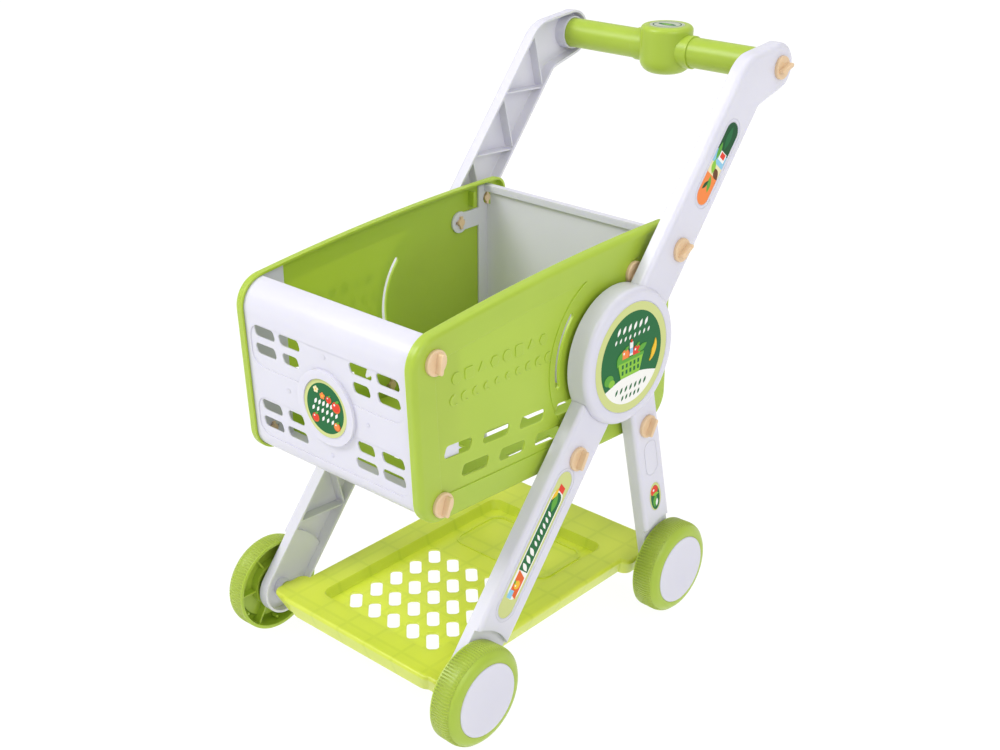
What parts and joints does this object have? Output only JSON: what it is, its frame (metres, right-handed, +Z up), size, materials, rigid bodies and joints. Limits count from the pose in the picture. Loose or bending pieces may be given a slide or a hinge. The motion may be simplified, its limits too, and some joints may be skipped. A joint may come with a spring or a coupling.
{
  "type": "toy shopping trolley",
  "caption": "Toy shopping trolley: open slotted basket between side frames that cross at a round hub, push bar, slotted lower tray and free-rolling wheels.",
  "frame": {"origin": "on the floor, under the middle of the trolley's bounding box", "axes": "+X the pusher's left, -Y the front of the basket, +Y the rear where the pusher stands, +Z up"},
  "size_m": [0.3068, 0.5095, 0.5505],
  "materials": {
    "white_plastic": "glossy moulded polypropylene, faintly lavender white",
    "lime_plastic": "satin moulded polypropylene, lime green",
    "tray_plastic": "translucent moulded polypropylene, yellow lime",
    "cream_plastic": "satin moulded plastic, cream",
    "hub_sticker": "printed paper sticker, dark green field in a pale green ring",
    "front_sticker": "printed paper sticker, dark green with a pale rim",
    "strip_sticker": "printed paper sticker, pale green with green and orange shapes",
    "handle_sticker": "raised lime disc with plain relief"
  },
  "bodies": {
    "cart": {"basket_front_panel": "white_plastic", "basket_back_panel": "white_plastic", "basket_floor": "lime_plastic", "tray": "tray_plastic", "handle_bar": "lime_plastic", "handle_badge": "handle_sticker", "front_badge": "front_sticker", "basket_side_panel_left": "lime_plastic", "handle_arm_left": "white_plastic", "front_leg_left": "white_plastic", "rear_leg_left": "white_plastic", "hub_label_left": "hub_sticker", "arm_label_left": "strip_sticker", "front_leg_label_left": "strip_sticker", "rear_leg_label_left": "strip_sticker", "basket_knobs_left": "cream_plastic", "frame_knobs_left": "cream_plastic", "axle_pin_front_left": "cream_plastic", "axle_pin_rear_left": "cream_plastic", "basket_side_panel_right": "lime_plastic", "handle_arm_right": "white_plastic", "front_leg_right": "white_plastic", "rear_leg_right": "white_plastic", "hub_label_right": "hub_sticker", "arm_label_right": "strip_sticker", "front_leg_label_right": "strip_sticker", "rear_leg_label_right": "strip_sticker", "basket_knobs_right": "cream_plastic", "frame_knobs_right": "cream_plastic", "axle_pin_front_right": "cream_plastic", "axle_pin_rear_right": "cream_plastic"},
    "front_left_wheel": {"wheel_front_left": "lime_plastic", "wheel_cap_front_left": "white_plastic"},
    "front_right_wheel": {"wheel_front_right": "lime_plastic", "wheel_cap_front_right": "white_plastic"},
    "rear_left_wheel": {"wheel_rear_left": "lime_plastic", "wheel_cap_rear_left": "white_plastic"},
    "rear_right_wheel": {"wheel_rear_right": "lime_plastic", "wheel_cap_rear_right": "white_plastic"}
  },
  "joints": [
    {"name": "front_left_wheel_spin", "type": "hinge", "parent": "cart", "child": "front_left_wheel", "pos_m": [0.1369, -0.20775, 0.047], "axis": [1, 0, 0], "continuous": true},
    {"name": "front_right_wheel_spin", "type": "hinge", "parent": "cart", "child": "front_right_wheel", "pos_m": [-0.1369, -0.20775, 0.047], "axis": [1, 0, 0], "continuous": true},
    {"name": "rear_left_wheel_spin", "type": "hinge", "parent": "cart", "child": "rear_left_wheel", "pos_m": [0.1369, 0.08075, 0.047], "axis": [1, 0, 0], "continuous": true},
    {"name": "rear_right_wheel_spin", "type": "hinge", "parent": "cart", "child": "rear_right_wheel", "pos_m": [-0.1369, 0.08075, 0.047], "axis": [1, 0, 0], "continuous": true}
  ]
}
